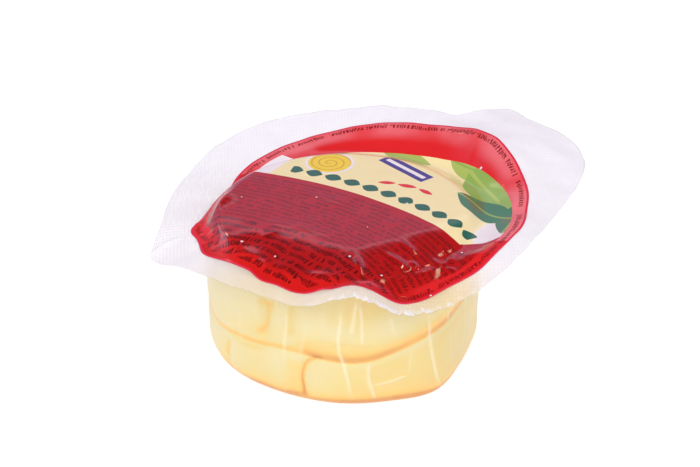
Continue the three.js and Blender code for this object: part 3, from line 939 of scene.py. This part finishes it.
# The rim's red band runs round all but the front. A pink lies on it and on the back field: partly the
# milky weld seen through, partly painted haze. It lies in patches, evenly at the right, and not at the left.
RIM_BAND_FROM, RIM_MARKS_AT, RIM_EDGE_FROM = 36.9, 38.7, 39.95
# The middles of the stretch that is evenly pale and of the stretch that is pale at all, in degrees
EVENLY_PALE_AT, PALE_AT = 22, 58
behind_panel = figure("GREATER_THAN", off_stretch(PANEL_STRETCH[0]), math.radians(PANEL_STRETCH[1]))
rim_band = both(figure("GREATER_THAN", from_middle, RIM_BAND_FROM), behind_panel)
print_colour = ink(print_colour, rim_band, RED)
weld_and_haze_patches = add(printed, "ShaderNodeTexNoise", Vector=label, Scale=0.09, Detail=1.0).outputs["Fac"]
in_patches = eased(weld_and_haze_patches, 0.3, 0.65, 0.08, 0.36)
evenly_pale = eased(off_stretch(EVENLY_PALE_AT), 0.25, 0.6, 0.45, 0)
weld_and_haze_share = both(figure("MAXIMUM", in_patches, evenly_pale), eased(from_middle, 34.3, 37.2, 0, 1))
not_left = eased(off_stretch(PALE_AT), 2.1, 2.8, 1, 0)
red_fields = figure("MAXIMUM", rim_band, back_field)
# Painted haze of reflected light, with the milky weld seen through the ink
print_colour = ink(print_colour, both(both(weld_and_haze_share, not_left), red_fields), WELD_PINK_AND_HAZE)
rim_run = figure("MULTIPLY", rim_angle, RIM_MARKS_AT)
rim_marks = marks(rim_run, figure("SUBTRACT", from_middle, RIM_MARKS_AT), 0.0, 2.0, 0.85)
print_colour = ink(print_colour, both(rim_marks, behind_bare), RIM_MARK)
print_colour = ink(print_colour, figure("GREATER_THAN", from_middle, RIM_EDGE_FROM), RIM_EDGE)

# Pale specks are tiny bubbles left under the film
BUBBLE_RADIUS, BUBBLES_LEFT_OUT = 0.065, 0.45
bubbles = add(printed, "ShaderNodeTexVoronoi", Vector=label, Scale=0.2)
bubble_chance = add(printed, "ShaderNodeSeparateXYZ", Vector=bubbles.outputs["Color"]).outputs["X"]
bubble = both(figure("LESS_THAN", bubbles.outputs["Distance"], BUBBLE_RADIUS),
              figure("GREATER_THAN", bubble_chance, BUBBLES_LEFT_OUT))
print_colour = ink(print_colour, both(bubble, 0.9), WHITE)

# The clear layer is glossy, but duller at the rim, where the knurled tools have pressed it
gloss = eased(from_middle, 35.5, 38.5, 1.0, 0.15)
printed_surface = add(printed, "ShaderNodeBsdfPrincipled", Base_Color=print_colour, Roughness=0.42, IOR=1.45,
                      Specular_IOR_Level=0.08, Coat_Weight=gloss, Coat_Roughness=0.12, Coat_IOR=1.5)
add(printed, "ShaderNodeOutputMaterial", Surface=printed_surface)
lid.data.materials.append(printed)
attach(lid, "root")
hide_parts("lid_film")

# The stage: a plain white light table, soft studio light and the photograph's viewing angle
# The table glows of itself, so that the object throws hardly any shadow on it.
FLOOR_HALF = 3.0
FLOOR_GAP = 0.00005
floor_mesh = bpy.data.meshes.new("floor")
floor_mesh.from_pydata([(-FLOOR_HALF, -FLOOR_HALF, 0), (FLOOR_HALF, -FLOOR_HALF, 0),
                        (FLOOR_HALF, FLOOR_HALF, 0), (-FLOOR_HALF, FLOOR_HALF, 0)], [], [(0, 1, 2, 3)])
floor = bpy.data.objects.new("floor", floor_mesh)
floor.location.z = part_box("cheese_pouch")[0].z - FLOOR_GAP
bpy.context.scene.collection.objects.link(floor)
table = new_material("white_light_table")
table_surface = add(table, "ShaderNodeBsdfPrincipled", Base_Color=(0.3, 0.3, 0.3, 1), Roughness=0.9,
                    Emission_Color=(1, 1, 1, 1), Emission_Strength=0.85)
add(table, "ShaderNodeOutputMaterial", Surface=table_surface)
floor_mesh.materials.append(table)


def softbox(name, place, width, height, power, colour):
    lamp = bpy.data.lights.new(name, "AREA")
    lamp.shape = "RECTANGLE"
    lamp.size = width
    lamp.size_y = height
    lamp.energy = power
    lamp.color = linear(colour)[:3]
    holder = bpy.data.objects.new(name, lamp)
    holder.location = place
    holder.rotation_euler = (Vector((0, 0, 0.02)) - Vector(place)).to_track_quat("-Z", "Y").to_euler()
    bpy.context.scene.collection.objects.link(holder)


softbox("front_left_softbox", (-0.35, -0.6, 0.85), 1.0, 0.7, 8.2, "FFFFFF")
softbox("front_right_softbox", (0.75, -0.6, 0.6), 0.6, 0.6, 2.75, "FFFFFF")
softbox("rear_strip", (-0.1, 0.8, 0.62), 1.4, 0.1, 0.35, "E8ECFF")
softbox("rear_left_softbox", (-0.75, 0.55, 0.42), 0.4, 0.25, 0.5, "E8ECFF")
softbox("rear_left_lamp", (-0.5, 0.65, 0.58), 0.12, 0.12, 0.4, "FFF0D0")
softbox("high_right_lamp", (0.42, 0.4, 0.9), 0.16, 0.16, 0.6, "FFF0D0")
softbox("warm_lamp", (0.05, -0.1, 0.9), 0.14, 0.14, 1.5, "FFE6C4")

sky = bpy.data.worlds.new("studio")
bpy.context.scene.world = sky
sky.use_nodes = True
sky.node_tree.nodes.clear()
direction = add(sky, "ShaderNodeTexCoord").outputs["Generated"]
height = add(sky, "ShaderNodeSeparateXYZ", Vector=direction).outputs["Z"]
backdrop = add(sky, "ShaderNodeValToRGB", Fac=height)
WALL_LIGHT, CEILING_LIGHT = (0.46, 0.36, 0.58, 1), (0.04, 0.04, 0.045, 1)
backdrop.color_ramp.elements[0].position = 0.51
backdrop.color_ramp.elements[0].color = WALL_LIGHT
backdrop.color_ramp.elements[-1].position = 0.70
backdrop.color_ramp.elements[-1].color = CEILING_LIGHT
glow = add(sky, "ShaderNodeBackground", Color=backdrop, Strength=1.0)
add(sky, "ShaderNodeOutputWorld", Surface=glow)

CAMERA_ELEVATION = 28
CAMERA_DISTANCE = 480
CAMERA_TARGET = (1.7, 0, 28.4)
# The focal length and the photograph's width in pixels, and the sensor's width in mm
FOCAL_PIXELS, PHOTO_PIXELS, SENSOR = 2000, 700, 36
camera_data = bpy.data.cameras.new("camera")
camera_data.lens = FOCAL_PIXELS / PHOTO_PIXELS * SENSOR
camera_data.sensor_width = SENSOR
camera_data.clip_end = 20
camera = bpy.data.objects.new("camera", camera_data)
camera.location = (CAMERA_TARGET[0] * MM,
                   -CAMERA_DISTANCE * cosine(CAMERA_ELEVATION) * MM,
                   (CAMERA_TARGET[2] + CAMERA_DISTANCE * sine(CAMERA_ELEVATION)) * MM)
camera.rotation_euler = (math.radians(90 - CAMERA_ELEVATION), 0, 0)
bpy.context.scene.collection.objects.link(camera)
bpy.context.scene.camera = camera
bpy.context.scene.view_settings.view_transform = "Standard"
